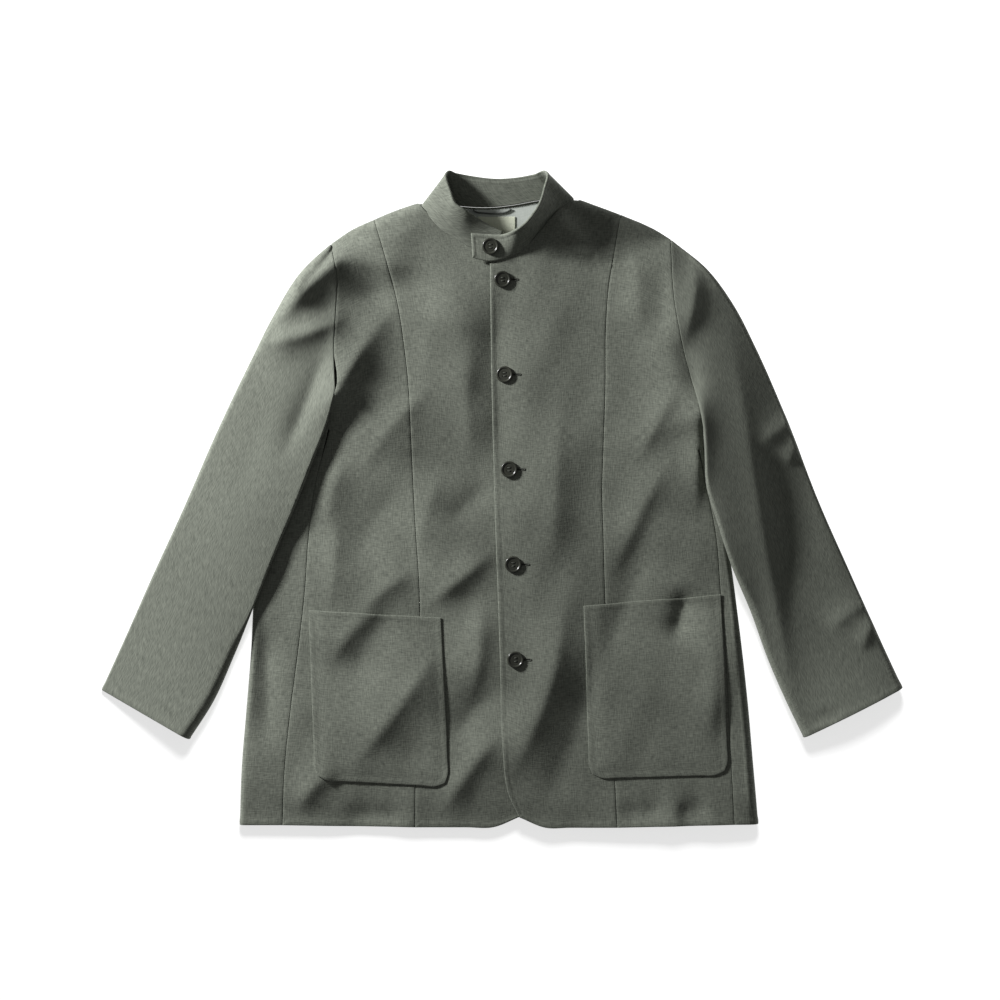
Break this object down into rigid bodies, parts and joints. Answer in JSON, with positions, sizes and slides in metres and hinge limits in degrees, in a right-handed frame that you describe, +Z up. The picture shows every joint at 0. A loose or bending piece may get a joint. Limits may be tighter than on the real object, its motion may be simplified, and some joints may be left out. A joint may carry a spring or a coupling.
{
  "type": "stand-collar blazer",
  "caption": "Stand-collar wool blazer laid out flat and buttoned, with set-in sleeves folded over its sides and rounded patch pockets.",
  "frame": {"origin": "middle of the laid-out garment, on the surface it lies on", "axes": "+X to the right of someone looking down on the front, which is the wearer's left; +Y towards the collar; +Z up"},
  "size_m": [0.9606, 0.7874, 0.0418],
  "materials": {
    "wool": "matte grey-green melange suiting",
    "lining": "smooth pale grey lining",
    "label": "bare cream woven tape",
    "button": "dark polished horn look"
  },
  "bodies": {
    "root": {"back": "wool", "front_centre_right": "wool", "front_centre_left": "wool", "front_flank_right": "wool", "front_flank_left": "wool", "side_right": "wool", "side_left": "wool", "sleeve_top_right": "wool", "sleeve_top_left": "wool", "sleeve_under_right": "wool", "sleeve_under_left": "wool", "collar": "wool", "pocket_right": "wool", "pocket_left": "wool", "lining": "lining", "label": "label", "hanger_loop": "wool", "button_1": "button", "button_2": "button", "button_3": "button", "button_4": "button", "button_5": "button", "button_6": "button"}
  },
  "joints": []
}
